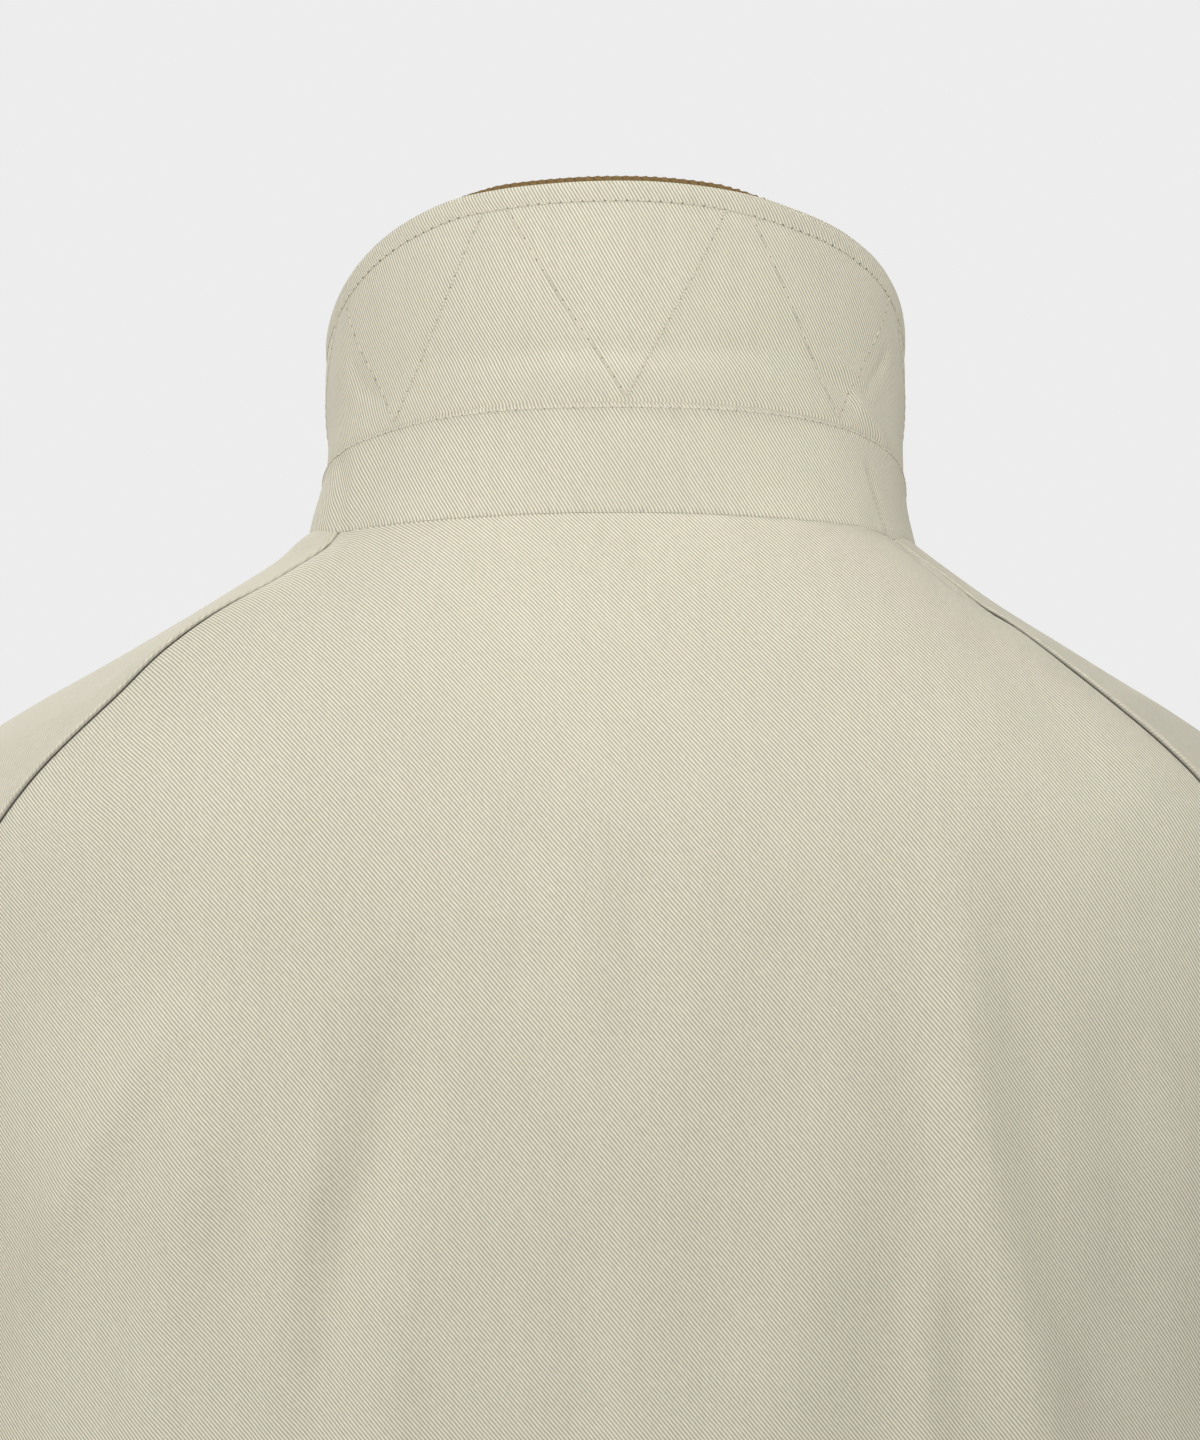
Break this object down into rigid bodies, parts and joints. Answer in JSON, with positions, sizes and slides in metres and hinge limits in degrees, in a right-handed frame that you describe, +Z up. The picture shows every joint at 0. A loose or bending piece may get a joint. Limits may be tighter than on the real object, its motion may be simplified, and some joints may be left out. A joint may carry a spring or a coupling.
{
  "type": "field jacket",
  "caption": "Raglan field jacket in a hollow worn form, closed at the front, with a turned-up twill collar on a stand and a corduroy upper collar.",
  "frame": {"origin": "on the neck's axis at the height of the back neck seam, where the wearer's neck holds the jacket", "axes": "+Z up towards the collar, -Y the front, +X the wearer's left"},
  "size_m": [0.775, 0.287, 0.8504],
  "materials": {
    "gabardine": "matte cotton twill",
    "corduroy": "fine-wale corduroy",
    "button": "satin"
  },
  "bodies": {
    "root": {"back": "gabardine", "front_left": "gabardine", "front_right": "gabardine", "sleeve_left": "gabardine", "sleeve_right": "gabardine", "collar_stand": "gabardine", "undercollar": "gabardine", "upper_collar": "corduroy", "button_1": "button", "button_2": "button", "button_3": "button", "button_4": "button", "button_5": "button"}
  },
  "joints": []
}
